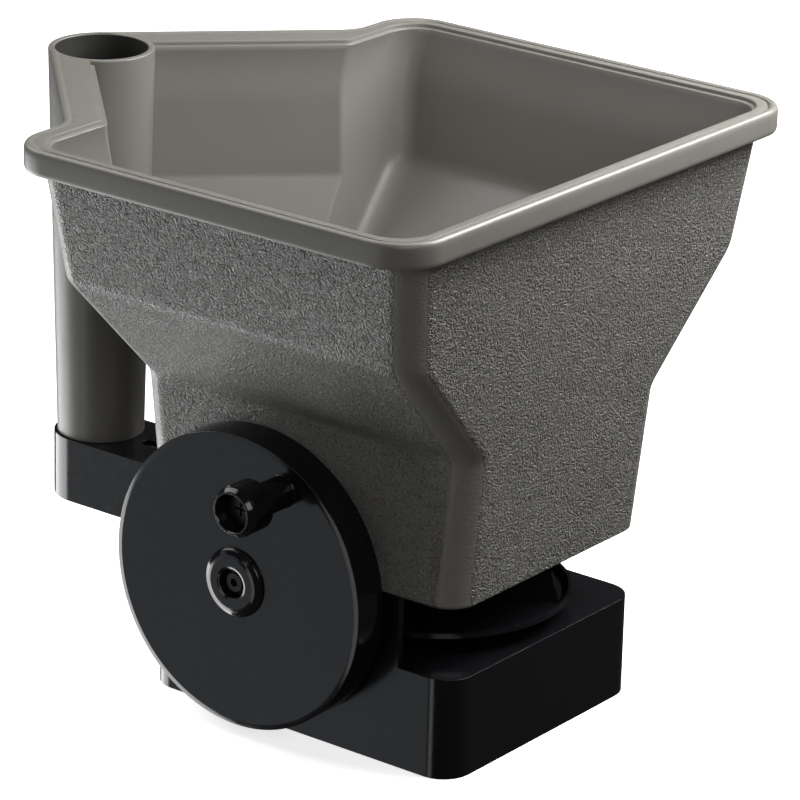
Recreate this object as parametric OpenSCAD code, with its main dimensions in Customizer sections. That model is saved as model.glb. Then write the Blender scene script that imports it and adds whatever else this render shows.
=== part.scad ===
// Handheld salt spreader: hopper with a tubular handle on a geared base,
// a side crank wheel that drives a broadcast spinner, and a sliding flow gate.
// Frame: origin on the floor under the middle of the base box, +Z up,
// crank on the -X side, salt thrown towards -Y, handle at +Y.

/* [Hopper] */
// Height of the rim above the floor
rim_z = 213; // [205:0.5:225]
// Half width of the rim
rim_w = 112.6; // [108:0.2:118]
// Front edge of the rim, distance ahead of the origin
rim_front = 88.8; // [86:0.2:94]
// Back edge of the rim, distance behind the origin
rim_back = 86; // [84:0.2:90]
// Height of the lip that hangs round the rim
lip_h = 9.2; // [6:0.2:12]
// Corner radius of the rim
rim_r = 18; // [12:0.5:22]
// Half width of the hopper below the lip
top_w = 103; // [100:0.5:104]
// Half width at the upper edge of the shoulder
shoulder_w = 96.5; // [92:0.5:98]
// Half width of the lower hopper
low_w = 56.8; // [55.5:0.1:58]
// Height of the upper edge of the shoulder
shoulder_top_z = 162.5; // [158:0.5:168]
// Height of the lower edge of the shoulder
shoulder_low_z = 119.5; // [118:0.5:124]
// Wall thickness of the hopper
wall = 2.2; // [1.8:0.1:2.6]

/* [Handle] */
// Distance of the handle tube's axis behind the origin
handle_y = 139.9; // [136:0.1:142]
// Outer radius of the handle tube at the rim
handle_r_top = 19.5; // [18:0.1:20.5]
// Outer radius of the handle tube at its foot
handle_r_low = 16.3; // [15:0.1:17]

/* [Base] */
// Half width of the base box
base_w = 55.5; // [54.5:0.1:56.5]
// Half depth of the base box
base_d = 68.5; // [67:0.1:70]
// Height of the base box's deck
deck_z = 37.5; // [36.5:0.1:38.5]
// Height of the roof that the hopper stands on
roof_z = 64; // [63.5:0.1:64.5]
// Corner radius of the base box
base_r = 11; // [8:0.5:14]
// Half width of the rear arm
arm_w = 17.5; // [17:0.1:19]
// Underside of the rear arm
arm_z = 39.5; // [38:0.5:44]

/* [Crank] */
// Distance of the crank axle behind the origin
crank_y = 13.85; // [13.5:0.05:14.2]
// Height of the crank axle
crank_z = 58.85; // [58.7:0.05:59]
// Outer radius of the crank wheel
wheel_r = 54.4; // [53.8:0.1:55]
// Throw of the knob from the crank axle
knob_throw = 43.8; // [42:0.2:44]
// Angle of the knob at rest, from straight up towards the front
knob_angle = 27; // [0:1:40]

/* [Spinner] */
// Distance of the spinner's axis ahead of the origin
spin_y = 18.65; // [18.4:0.05:18.9]
// Radius of the spinner disc
spin_r = 49; // [46:0.2:49.5]
// Number of vanes on the spinner
vanes = 4; // [3:1:6]

/* [Flow gate] */
// Travel of the gate from closed to fully open
gate_travel = 24; // [18:1:24]

/* [Hidden] */

grey = [0.42, 0.41, 0.39];
black = [0.06, 0.06, 0.07];
nylon = [0.86, 0.85, 0.80];
steel = [0.68, 0.69, 0.70];
e = 0.01;                          // overshoot that keeps cuts clean
round_fn = 72;

// hopper
lip_z = rim_z - lip_h;
rim_top = 2;                       // thickness of the rim's top plate
lip_t = 2;                         // thickness of the hanging lip
body_r = 11.5;                     // corner radius of the hopper body
rim_edge = 7;                      // width of the rim's flat top
rim_base = rim_z - 4;              // above this the body's walls stand upright
bead = 1;                          // height of the step round the rim's edge
ledge = 1.2;                       // depth of the step inside the rim
draft = 0.1;                       // slope of the front and back walls
front_low = 69.3;                  // front wall ahead of the origin at roof height
back_low = 67.6;                   // back wall behind the origin at roof height
crease = 7;                        // half height over which a crease is rounded
corner_n = 6;                      // segments in a rounded corner
diag = 164;                        // |x| + y along the outside of the handle flange
diag_in = 146.5;                   // |x| + y along the inside of the handle flange
flange_y = 153.2;                  // back edge of the handle flange
pocket_w = 68;                     // half width of the pocket towards the handle
handle_wall = 2.4;
floor_t = 2.5;                     // thickness of the hopper's floor
funnel_z = 82;                     // where the funnel floor meets the walls
funnel_w = 26;
funnel_front = 44;
funnel_back = 16;

// base
base_t = 2.6;                      // wall thickness of the base mouldings
guard_front = 45;                  // front edge of the crank-side wall
open_front = 31;                   // front edge of the far side wall
cover_t = 2.5;
boss_r = 16;                       // raised boss in the deck under the spinner
boss_z = deck_z + 3.1;

// drive train
gear_m = 1;                        // module of all gears
ring_n = 99;
pinion_n = 12;
bevel_n = 14;
pressure = 20;
centre = (ring_n - pinion_n) * gear_m / 2;
shaft_y = -spin_y;
shaft_z = crank_z - sqrt(centre * centre - pow(crank_y + spin_y, 2));
mesh_a = atan2(shaft_z - crank_z, shaft_y - crank_y);
shaft_r = 2.5;
axle_r = 3;
run = 0.05;                        // radial clearance of a running fit
bevel_r = bevel_n * gear_m / 2;
bevel_face = 2.8;

// crank wheel, along X
wheel_x = -72.6;                   // front face
wheel_back = -58.5;                // back edge of its rim
disc_t = 3;
rim_t = 2.6;
collar_r = 12.7;
collar_h = 2.6;
collar_face_r = 9.3;
recess_r = 5.4;                    // recess for the axle washer
recess_d = 2.35;                   // its depth behind the front face
hub_back = -58.3;
neck_r = 5.8;
neck_end = wheel_x - 15;           // the neck carries the knob clear of the wheel
knob_r = 9.2;
knob_end = neck_end - 12.2;
knob_floor = neck_end - 5;
knob_gap = 0.3;
cup_r = 6.7;                       // hollow in the knob's outer end
knob_y = crank_y - knob_throw * sin(knob_angle);
knob_z = crank_z + knob_throw * cos(knob_angle);
post_r = 4;

// spinner
spin_z = 43.2;                     // top of the spinner's plate
vane_h = 11.5;
vane_a = -67.5;                    // heading of the first vane

// flow gate
gate_z = 58.9;
gate_t = 2;
gate_w = 19;
gate_l = 45;
gate_front = -13;                  // front edge of the closed gate
rail_l = 75;
rail_lip = 2;                      // depth of the rail below the gate
tongue_w = 12;
tongue_end = 110;
window_w = 16;
window_d = 10;
gate_gap = 0.3;
stem_y = 84;
stem_l = 8;
stem_w = 4;

screw_r = 1.6;
head_r = 3.3;
post_pos = [[46, 34], [46, 59.5]];
hopper_screw_pos = [[46, 46], [46, -20]];
cover_screw_pos = [[37, 55], [37, -55]];

// ---------- shared shapes ----------

// Points of an arc that rounds corner b between a and c with radius r
function corner(a, b, c, r, n) =
    let (u = (a - b) / norm(a - b), v = (c - b) / norm(c - b),
         half = acos(max(-1, min(1, u * v))) / 2, d = r / tan(half),
         mid = (u + v) / norm(u + v), o = b + mid * r / sin(half),
         p = b + u * d - o, q = b + v * d - o,
         a0 = atan2(p[1], p[0]), a1 = atan2(q[1], q[0]),
         turn = ((a1 - a0 + 540) % 360) - 180)
    [for (i = [0:n]) o + r * [cos(a0 + turn * i / n), sin(a0 + turn * i / n)]];

function rounded(pts, radii, n = corner_n) =
    let (m = len(pts))
    [for (i = [0:m - 1]) each corner(pts[(i + m - 1) % m], pts[i], pts[(i + 1) % m], radii[i], n)];

function box_ring(w, front, back, r) =
    rounded([[-w, -front], [w, -front], [w, back], [-w, back]], [r, r, r, r]);

// Outline of the rim and handle flange, d inside the outer edge
function rim_ring(d) =
    let (w = rim_w - d, f = rim_front - d, b = rim_back - d, y = flange_y - d,
         s = diag - d * sqrt(2), r = max(1, rim_r - d))
    rounded([[-w, -f], [w, -f], [w, b], [s - b, b], [s - y, y], [y - s, y], [b - s, b], [-w, b]],
            [r, r, r, 14 + d, max(1, 8 - d), max(1, 8 - d), 14 + d, r]);

// A solid through rings of equal length, each given as [height, points]
module loft(rings) {
    n = len(rings[0][1]);
    pts = [for (q = rings) for (p = q[1]) [p[0], p[1], q[0]]];
    m = len(rings);
    polyhedron(points = pts, faces = concat(
        [[for (i = [0:n - 1]) i]],
        [[for (i = [n - 1:-1:0]) (m - 1) * n + i]],
        [for (k = [0:m - 2]) for (i = [0:n - 1]) let (j = (i + 1) % n)
            each [[k * n + j, k * n + i, (k + 1) * n + j], [k * n + i, (k + 1) * n + i, (k + 1) * n + j]]]),
        convexity = 6);
}

module plate(z0, z1, pts) {
    translate([0, 0, z0]) linear_extrude(z1 - z0) polygon(pts);
}

module along_x(x, y, z) {
    translate([x, y, z]) rotate([0, 90, 0]) children();
}

module tube_x(x0, x1, y, z, r_out, r_in) {
    along_x(x0, y, z) difference() {
        cylinder(r = r_out, h = x1 - x0, $fn = round_fn);
        translate([0, 0, -e]) cylinder(r = r_in, h = x1 - x0 + 2 * e, $fn = round_fn);
    }
}

module mirrored_at(list) {
    for (p = list, s = [-1, 1]) translate([s * p[0], p[1], 0]) children();
}

module pan_screw(tip, seat, head = head_r, thick = 2) {
    translate([0, 0, seat - thick]) difference() {
        cylinder(r = head, h = thick, $fn = 48);
        for (a = [0, 90]) rotate(a) translate([-head * 0.6, -0.4, -e]) cube([head * 1.2, 0.8, 1]);
    }
    translate([0, 0, seat - e]) cylinder(r = screw_r, h = tip - seat, $fn = 32);
}

// ---------- gears ----------

function inv(a) = tan(a) * 180 / PI - a;

// Half angle of an involute tooth at radius r
function tooth_half(r, n, play) =
    let (rp = n * gear_m / 2, rb = rp * cos(pressure), a = r > rb ? acos(rb / r) : 0)
    90 / n + inv(pressure) - inv(a) - play / rp * 90 / PI;

function gear_outline(n, r_root, r_tip, play) =
    let (rs = [for (i = [0:5]) r_root + (r_tip - r_root) * i / 5])
    [for (k = [0:n - 1]) each concat(
        [for (r = rs) r * [cos(k * 360 / n - tooth_half(r, n, play)), sin(k * 360 / n - tooth_half(r, n, play))]],
        [for (i = [5:-1:0]) rs[i] * [cos(k * 360 / n + tooth_half(rs[i], n, play)),
                                     sin(k * 360 / n + tooth_half(rs[i], n, play))]])];

// Bevel gear with its apex up the Z axis, its large end at z = 0
module bevel_gear(hub_l, turn) {
    difference() {
        union() {
            rotate(turn) linear_extrude(height = bevel_face, scale = 1 - bevel_face / bevel_r)
                polygon(gear_outline(bevel_n, bevel_r - 1.15, bevel_r + 0.7, 0.16));
            translate([0, 0, -hub_l]) cylinder(r = bevel_r - 1.4, h = hub_l + e, $fn = 64);
        }
        translate([0, 0, -hub_l - e]) cylinder(r = shaft_r, h = hub_l + bevel_face + 2 * e, $fn = round_fn);
    }
}

// ---------- hopper ----------

function mix(z, z0, z1, v0, v1) = v0 + (v1 - v0) * (z - z0) / (z1 - z0);

function half_width_sharp(z) =
    z < shoulder_low_z ? mix(z, roof_z, shoulder_low_z, low_w - 1, low_w)
    : z < shoulder_top_z ? mix(z, shoulder_low_z, shoulder_top_z, low_w, shoulder_w)
    : mix(z, shoulder_top_z, lip_z, shoulder_w, top_w);

// Average over the crease height, so that the creases are rounded
function half_width(z) =
    (half_width_sharp(z - crease) + 2 * half_width_sharp(z - crease / 2) + 2 * half_width_sharp(z)
     + 2 * half_width_sharp(z + crease / 2) + half_width_sharp(z + crease)) / 8;

function body_ring(z, t) =
    box_ring(half_width(z) - t, front_low + draft * (z - roof_z) - t,
             back_low + draft * (z - roof_z) - t, body_r - t);

body_heights = concat([roof_z, funnel_z, 104], [for (z = [110:4:134]) z], [for (z = [148:4:176]) z], [lip_z]);

// Outline of the pocket between the back wall and the handle tube
function pocket_ring(z, w, d, t) =
    let (y = back_low + draft * (z - roof_z) - t, v = w - t * 1.2)
    [[-v, y - 12], [v, y - 12], [v, y], [v - d, y + d], [d - v, y + d], [-v, y]];

// The pocket, t inside its outer face
module pocket(t) {
    loft([[shoulder_low_z + t, pocket_ring(shoulder_low_z + t, 0.62 * low_w, 3, t)],
          [shoulder_top_z, pocket_ring(shoulder_top_z, 0.66 * shoulder_w, 46, t)],
          [rim_base, pocket_ring(rim_base, pocket_w, 47, t)]]);
    plate(rim_base - e, rim_z - 1.6, pocket_ring(rim_base, pocket_w, 47, t));
}

module body_outer() {
    loft([for (z = concat(body_heights, [rim_base])) [z, body_ring(z, 0)]]);
    plate(rim_base - e, rim_z - 1.6, body_ring(rim_base, 0));
    pocket(0);
}

module body_inner() {
    heights = concat([for (z = body_heights) if (z >= funnel_z) z], [rim_base]);
    loft(concat([[roof_z + floor_t, box_ring(funnel_w, funnel_front, funnel_back, 6)]],
                [for (z = heights) [z, body_ring(z, wall)]]));
    plate(rim_base - e, rim_z + 1, body_ring(rim_base, wall));
    plate(rim_z - ledge, rim_z + 1, box_ring(rim_w - rim_edge, rim_front - rim_edge, rim_back - rim_edge, 13));
    pocket(wall);
    flange_opening();
}

// Opening through the flange between the hopper and the handle
module flange_opening() {
    b = rim_back - rim_edge;
    y = flange_y - 20;
    plate(rim_base + 1, rim_z + 1, [[diag_in - b, b - 12], [diag_in - b, b], [diag_in - y, y],
                                    [y - diag_in, y], [b - diag_in, b], [b - diag_in, b - 12]]);
}

// Space under the funnel floor, inside the walls
module under_floor() {
    difference() {
        loft([[roof_z - 1, body_ring(roof_z, wall)], [funnel_z - 3, body_ring(funnel_z, wall)]]);
        loft([[roof_z - 2, box_ring(funnel_w + 2, funnel_front + 2, funnel_back + 2, 7)],
              [roof_z + 0.6, box_ring(funnel_w + 2, funnel_front + 2, funnel_back + 2, 7)],
              [funnel_z - 1.6, body_ring(funnel_z, wall - 1)], [funnel_z, body_ring(funnel_z, wall - 1)]]);
        mirrored_at(hopper_screw_pos) translate([0, 0, roof_z - 2]) cylinder(r = 4, h = 20, $fn = 48);
    }
}

module handle_tube(grow, z0, z1) {
    slope = (handle_r_top - handle_r_low) / (rim_z - roof_z);
    translate([0, handle_y, z0])
        cylinder(r1 = handle_r_low + slope * (z0 - roof_z) + grow, r2 = handle_r_low + slope * (z1 - roof_z) + grow,
                 h = z1 - z0, $fn = 96);
}

module rim_shell() {
    difference() {
        union() {
            plate(lip_z, rim_z - bead, rim_ring(0));
            plate(rim_z - bead - e, rim_z, rim_ring(0.8));
        }
        plate(lip_z - 1, rim_z - rim_top, rim_ring(lip_t));
    }
}

module hopper() {
    color(grey) difference() {
        union() {
            difference() {
                union() {
                    rim_shell();
                    body_outer();
                }
                body_inner();
                under_floor();
            }
            handle_tube(0, roof_z, rim_z);
        }
        handle_tube(-handle_wall, roof_z + 8, rim_z + e);
        translate([0, handle_y, roof_z - e]) cylinder(r = screw_r, h = 9, $fn = 32);
        translate([-window_w, -window_d, roof_z - 1]) cube([2 * window_w, 2 * window_d, 6]);
        translate([0, -spin_y, roof_z - 1]) cylinder(r = 4, h = 6, $fn = round_fn);
        mirrored_at(hopper_screw_pos) translate([0, 0, roof_z - 1]) cylinder(r = screw_r, h = 9, $fn = 32);
    }
}

// ---------- base ----------

module slab(w, front, back, r, z0, z1) {
    plate(z0, z1, box_ring(w, front, back, r));
}

module base_box() {
    color(black) difference() {
        union() {
            difference() {
                slab(base_w, base_d, base_d, base_r, 0, deck_z);
                slab(base_w - base_t, base_d - base_t, base_d - base_t, base_r - base_t, -1, deck_z - 2.5);
            }
            translate([0, -spin_y, deck_z - 1]) cylinder(r = boss_r, h = boss_z - deck_z + 1, $fn = round_fn);
            along_x(-base_w, shaft_y, shaft_z) cylinder(r = 7.2, h = 7, $fn = round_fn);
            translate([-21, -spin_y - 8, shaft_z - 7.5]) cube([6, 16, deck_z - 1 - shaft_z + 7.5]);
            mirrored_at(cover_screw_pos) translate([0, 0, cover_t]) cylinder(r = 4, h = deck_z - cover_t - 1, $fn = 48);
        }
        translate([0, -spin_y, deck_z - 4]) cylinder(r = boss_r - 2, h = boss_z - deck_z + 1.8, $fn = round_fn);
        translate([0, -spin_y, deck_z - 1]) cylinder(r = 4, h = 9, $fn = round_fn);
        along_x(-base_w - 1, shaft_y, shaft_z) cylinder(r = 5, h = 10, $fn = round_fn);
        along_x(-22, shaft_y, shaft_z) cylinder(r = 4, h = 8, $fn = round_fn);
        mirrored_at(post_pos) translate([0, 0, deck_z - 5]) cylinder(r = screw_r, h = 8, $fn = 32);
        mirrored_at(cover_screw_pos) translate([0, 0, cover_t - 1]) cylinder(r = screw_r, h = 12, $fn = 32);
    }
}

module arm_plan(w, y0) {
    translate([0, handle_y]) circle(r = w, $fn = round_fn);
    translate([-w, y0]) square([2 * w, handle_y - y0]);
}

// Guide rail under the roof for one edge of the gate
module gate_rail(side) {
    mirror([side, 0, 0]) translate([0, gate_front, 0]) {
        translate([gate_w + gate_gap, 0, gate_z - rail_lip]) cube([2.4, rail_l, roof_z - gate_z]);
        translate([gate_w - 2, 0, gate_z - rail_lip]) cube([4, rail_l, rail_lip - gate_gap]);
    }
}

module gear_housing() {
    inside = base_w - base_t;
    color(black) difference() {
        union() {
            difference() {
                slab(base_w, guard_front, base_d, base_r, deck_z, roof_z);
                translate([-inside, -guard_front - 20, deck_z - 1])
                    cube([2 * inside, guard_front + 20 + base_d - base_t, roof_z - 2.5 - deck_z + 1]);
                translate([0, -guard_front - 1, deck_z - 1])
                    cube([base_w + 1, guard_front + 1 - open_front, roof_z - 2.5 - deck_z + 1]);
            }
            translate([-base_w, -guard_front, deck_z]) cube([base_t, 20, roof_z - deck_z]);
            translate([-base_w, -guard_front, roof_z - 2.5]) cube([2 * base_w, 20, 2.5]);
            translate([0, 0, arm_z]) linear_extrude(roof_z - arm_z) arm_plan(arm_w, base_d - 1);
            mirrored_at(post_pos) translate([0, 0, deck_z]) cylinder(r = 4, h = roof_z - deck_z - 1, $fn = 48);
            tube_x(-57, -38, crank_y, crank_z, 5, axle_r);
            translate([-48, crank_y - 1.2, crank_z + 3]) cube([10, 2.4, roof_z - crank_z - 4]);
            for (side = [0, 1]) gate_rail(side);
        }
        translate([0, 0, arm_z - 1]) linear_extrude(roof_z - 2.4 - arm_z + 1) difference() {
            arm_plan(arm_w - 2.3, base_d - 8);
            translate([0, handle_y]) circle(r = 4, $fn = 48);
        }
        along_x(-60, crank_y, crank_z) cylinder(r = axle_r, h = 24, $fn = round_fn);
        translate([-window_w, -window_d, roof_z - 4]) cube([2 * window_w, 2 * window_d, 6]);
        translate([0, -spin_y, roof_z - 4]) cylinder(r = 4, h = 6, $fn = round_fn);
        translate([-stem_w / 2 - 0.4, stem_y - 2.5, roof_z - 4])
            cube([stem_w + 0.8, stem_l + gate_travel + 5, 6]);
        mirrored_at(post_pos) translate([0, 0, deck_z - 1]) cylinder(r = screw_r, h = 12, $fn = 32);
        mirrored_at(hopper_screw_pos) translate([0, 0, roof_z - 4]) cylinder(r = screw_r, h = 6, $fn = 32);
        translate([0, handle_y, arm_z - 2]) cylinder(r = screw_r, h = 30, $fn = 32);
    }
}

module base_cover() {
    gap = 0.2;
    color(black) difference() {
        union() {
            slab(base_w - base_t - gap, base_d - base_t - gap, base_d - base_t - gap, base_r - base_t, 0, cover_t);
            translate([0, -spin_y, cover_t - e]) cylinder(r = 7, h = 6, $fn = round_fn);
        }
        translate([0, -spin_y, cover_t]) cylinder(r = 4.5, h = 8, $fn = round_fn);
        mirrored_at(cover_screw_pos) translate([0, 0, -1]) {
            cylinder(r = screw_r, h = 6, $fn = 32);
            cylinder(r = head_r + 0.3, h = 2.3, $fn = 48);
        }
    }
}

// ---------- crank ----------

module crank_axle() {
    color(steel) difference() {
        along_x(-70.5, crank_y, crank_z) cylinder(r = axle_r, h = 31, $fn = round_fn);
        along_x(-71, crank_y, crank_z) cylinder(r = screw_r, h = 9, $fn = 32);
    }
}

module thrust_washer() {
    color(nylon) tube_x(-58.1, -57, crank_y, crank_z, 8, axle_r);
}

module crank_wheel() {
    depth = wheel_back - wheel_x;
    ring_r = ring_n * gear_m / 2;
    color(black) difference() {
        union() {
            along_x(wheel_x, crank_y, crank_z) rotate_extrude($fn = 144)
                polygon([[0, 0], [wheel_r - 1.2, 0], [wheel_r - 0.35, 0.35], [wheel_r, 1.2], [wheel_r, depth],
                         [51, depth], [51, depth - 1.6], [9, depth - 1.6], [9, hub_back - wheel_x],
                         [0, hub_back - wheel_x]]);
            along_x(wheel_x - collar_h, crank_y, crank_z) rotate_extrude($fn = 96)
                polygon([[0, 0.3], [5.8, 0.3], [6.4, 0], [collar_face_r, 0], [collar_face_r + 0.4, 0.2],
                         [collar_r - 0.4, 1.9], [collar_r, collar_h + e], [0, collar_h + e]]);
            along_x(neck_end, knob_y, knob_z) cylinder(r = neck_r, h = wheel_x - neck_end + e, $fn = round_fn);
            along_x(neck_end - 5, knob_y, knob_z) cylinder(r = post_r, h = 5 + e, $fn = round_fn);
        }
        along_x(wheel_x + disc_t, crank_y, crank_z) linear_extrude(depth)
            difference() {
                rotate(mesh_turn) polygon(gear_outline(ring_n, ring_r - 0.6, ring_r + 1.1, -0.16));
                circle(r = 9, $fn = round_fn);
            }
        along_x(wheel_x - 10, crank_y, crank_z) cylinder(r = axle_r + run, h = 30, $fn = round_fn);
        along_x(wheel_x - 10, crank_y, crank_z) cylinder(r = recess_r, h = 10 + recess_d, $fn = round_fn);
        along_x(neck_end - 6, knob_y, knob_z) cylinder(r = screw_r, h = 13, $fn = 32);
    }
}

module axle_washer() {
    color(steel) tube_x(-71.3, -70.5, crank_y, crank_z, 5, screw_r);
}

module axle_screw() {
    color(steel) difference() {
        union() {
            along_x(-73.4, crank_y, crank_z) cylinder(r = 3.4, h = 2.1, $fn = 48);
            along_x(-71.4, crank_y, crank_z) cylinder(r = screw_r, h = 8, $fn = 32);
        }
        along_x(-74, crank_y, crank_z) cylinder(r = 1.7, h = 1.9, $fn = 6);
    }
}

module crank_knob() {
    color(black) along_x(knob_end, knob_y, knob_z) rotate_extrude($fn = 96)
        polygon([[post_r + run, knob_floor - knob_end], [cup_r, knob_floor - knob_end], [cup_r, 0.3],
                 [cup_r + 0.3, 0], [cup_r + 0.8, 0], [cup_r + 1, 0.5], [knob_r - 0.3, 1.9], [knob_r - 0.3, 2.4],
                 [knob_r, 2.8], [knob_r, neck_end - knob_gap - knob_end],
                 [post_r + run, neck_end - knob_gap - knob_end]]);
}

module knob_screw() {
    color(steel) difference() {
        union() {
            along_x(knob_floor - 1.8, knob_y, knob_z) cylinder(r = 5.2, h = 1.7, $fn = 48);
            along_x(knob_floor - 0.2, knob_y, knob_z) cylinder(r = screw_r, h = 11, $fn = 32);
        }
        for (a = [0, 90]) translate([knob_floor - 1.9, knob_y, knob_z]) rotate([a, 0, 0])
            translate([0, -2.6, -0.45]) cube([1, 5.2, 0.9]);
    }
}

// ---------- drive train ----------

// Turn that puts a ring gear space, and a pinion tooth, on the line of centres
mesh_turn = 90 + mesh_a;

module cross_shaft() {
    color(steel) along_x(-69, shaft_y, shaft_z) cylinder(r = shaft_r, h = 64.6, $fn = round_fn);
}

module cross_shaft_outer_bush() {
    color(nylon) {
        tube_x(-base_w - 1.1, -base_w, shaft_y, shaft_z, 6.6, shaft_r + run);
        tube_x(-base_w - e, -base_w + 7, shaft_y, shaft_z, 5, shaft_r + run);
    }
}

module cross_shaft_inner_bush() {
    color(nylon) {
        tube_x(-21, -14, shaft_y, shaft_z, 4, shaft_r + run);
        tube_x(-15, -14, shaft_y, shaft_z, 5, shaft_r + run);
    }
}

module drive_pinion() {
    color(nylon) along_x(-69, shaft_y, shaft_z) difference() {
        union() {
            rotate(mesh_turn) linear_extrude(7.6)
                polygon(gear_outline(pinion_n, pinion_n * gear_m / 2 - 1.1, pinion_n * gear_m / 2 + 0.8, 0.16));
            cylinder(r = 4.6, h = 11, $fn = 64);
        }
        translate([0, 0, -e]) cylinder(r = shaft_r, h = 12, $fn = round_fn);
    }
}

module drive_bevel_gear() {
    color(nylon) along_x(-bevel_r, shaft_y, shaft_z) bevel_gear(6.6, 180 / bevel_n);
}

module driven_bevel_gear() {
    color(nylon) translate([0, -spin_y, shaft_z - bevel_r]) bevel_gear(6, 180);
}

module spinner_shaft() {
    color(steel) translate([0, -spin_y, 3.2]) cylinder(r = shaft_r, h = 73, $fn = round_fn);
}

module bush_z(z0, z1, r_out, flange_z) {
    translate([0, -spin_y, 0]) difference() {
        union() {
            translate([0, 0, z0]) cylinder(r = r_out, h = z1 - z0, $fn = round_fn);
            translate([0, 0, flange_z]) cylinder(r = r_out + 1.8, h = 1, $fn = round_fn);
        }
        cylinder(r = shaft_r + run, h = roof_z, $fn = round_fn);
    }
}

module spinner_lower_bush() {
    color(nylon) bush_z(cover_t, 9.5, 4.5, 8.5);
}

module spinner_upper_bush() {
    color(nylon) bush_z(boss_z - 4.3, boss_z + 1, 4, boss_z);
}

// ---------- spinner ----------

module vane() {
    rotate([90, 0, 0]) translate([0, 0, -0.9]) linear_extrude(1.8)
        polygon([[6, -e], [45.4, -e], [42.6, vane_h], [16, vane_h], [6, 7]]);
}

module spinner_disc() {
    hub_z = boss_z + 1.3;
    color(black) translate([0, -spin_y, 0]) difference() {
        union() {
            translate([0, 0, hub_z]) cylinder(r = 7, h = 51 - hub_z, $fn = round_fn);
            rotate_extrude($fn = 144)
                polygon([[0, hub_z], [8, hub_z], [30, spin_z - 1.7], [spin_r - 3, spin_z - 1.5], [spin_r, spin_z + 0.8],
                         [spin_r, spin_z + 2.7], [spin_r - 1.2, spin_z + 2.7], [spin_r - 3.6, spin_z], [0, spin_z]]);
            for (k = [0:vanes - 1]) rotate(vane_a + k * 360 / vanes) translate([0, 0, spin_z]) vane();
        }
        translate([0, 0, hub_z - 1]) cylinder(r = shaft_r, h = 20, $fn = round_fn);
    }
}

module spinner_nut() {
    color(steel) translate([0, -spin_y, 51]) difference() {
        cylinder(r = 4.6, h = 3.2, $fn = 6);
        translate([0, 0, -1]) cylinder(r = shaft_r, h = 6, $fn = round_fn);
    }
}

module agitator() {
    z = roof_z + floor_t + 0.6;
    color(nylon) translate([0, -spin_y, z]) difference() {
        union() {
            cylinder(r = 5.5, h = 8, $fn = round_fn);
            for (a = [25, 205]) rotate(a) {
                translate([0, 0, 3]) rotate([0, 90, 0]) cylinder(r = 1.6, h = 21, $fn = 32);
                translate([21, 0, 1.5]) cylinder(r = 1.6, h = 12, $fn = 32);
            }
        }
        translate([0, 0, -1]) cylinder(r = shaft_r, h = 10.1, $fn = round_fn);
    }
}

// ---------- flow gate ----------

module flow_gate() {
    color(nylon) {
        translate([-gate_w, gate_front, gate_z]) cube([2 * gate_w, gate_l, gate_t]);
        translate([-tongue_w / 2, gate_front + gate_l - e, gate_z])
            cube([tongue_w, tongue_end - gate_front - gate_l, gate_t]);
        translate([-stem_w / 2, stem_y, gate_z + gate_t - e]) cube([stem_w, stem_l, 8]);
    }
}

module gate_tab() {
    color(black) difference() {
        translate([0, stem_y + stem_l / 2, roof_z + 0.5]) hull() {
            for (x = [-5, 5], y = [-6, 6]) translate([x, y, 0]) cylinder(r = 2, h = 2, $fn = 32);
            for (y = [-5.2, 5.2]) translate([0, y, 0]) cylinder(r = 1.6, h = 9, $fn = 32);
        }
        translate([-stem_w / 2, stem_y, roof_z]) cube([stem_w, stem_l, gate_z + gate_t + 8 - e - roof_z]);
    }
}

// ---------- fasteners ----------

module hopper_screws() {
    color(steel) mirrored_at(hopper_screw_pos) pan_screw(roof_z + 7, roof_z - 2.5);
}

module housing_screws() {
    color(steel) mirrored_at(post_pos) pan_screw(deck_z + 9, deck_z - 2.5);
}

module cover_screws() {
    color(steel) mirrored_at(cover_screw_pos) pan_screw(cover_t + 8, 1.3, head_r, 1.2);
}

module handle_screw() {
    color(steel) translate([0, handle_y, 0]) pan_screw(roof_z + 7.5, arm_z, head_r, 2);
}

hopper();
base_box();
gear_housing();
base_cover();
crank_axle();
thrust_washer();
crank_wheel();
axle_washer();
axle_screw();
crank_knob();
knob_screw();
cross_shaft();
cross_shaft_outer_bush();
cross_shaft_inner_bush();
drive_pinion();
drive_bevel_gear();
driven_bevel_gear();
spinner_shaft();
spinner_lower_bush();
spinner_upper_bush();
spinner_disc();
spinner_nut();
agitator();
flow_gate();
gate_tab();
hopper_screws();
housing_screws();
cover_screws();
handle_screw();
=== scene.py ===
"""Handheld salt spreader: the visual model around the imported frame.

Frame: metres, origin on the floor under the base box, +Z up, crank on -X, salt thrown to -Y, handle at +Y.
"""

import math

import bmesh
import bpy
from mathutils import Matrix, Vector


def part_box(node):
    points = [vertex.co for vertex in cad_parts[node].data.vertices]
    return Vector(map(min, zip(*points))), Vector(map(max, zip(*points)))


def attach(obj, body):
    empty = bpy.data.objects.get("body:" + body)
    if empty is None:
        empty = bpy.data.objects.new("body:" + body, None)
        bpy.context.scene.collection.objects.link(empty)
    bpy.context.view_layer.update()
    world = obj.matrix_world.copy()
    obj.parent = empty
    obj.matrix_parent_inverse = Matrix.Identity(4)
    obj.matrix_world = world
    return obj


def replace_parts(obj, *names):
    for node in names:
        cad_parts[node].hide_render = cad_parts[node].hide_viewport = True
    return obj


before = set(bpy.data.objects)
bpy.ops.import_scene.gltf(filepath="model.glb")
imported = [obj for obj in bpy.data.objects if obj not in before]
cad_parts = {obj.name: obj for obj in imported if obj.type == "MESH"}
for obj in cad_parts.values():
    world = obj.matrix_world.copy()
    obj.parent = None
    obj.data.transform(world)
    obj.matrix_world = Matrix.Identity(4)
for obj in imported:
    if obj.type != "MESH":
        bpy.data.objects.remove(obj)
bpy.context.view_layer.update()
MM = 0.001

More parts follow.
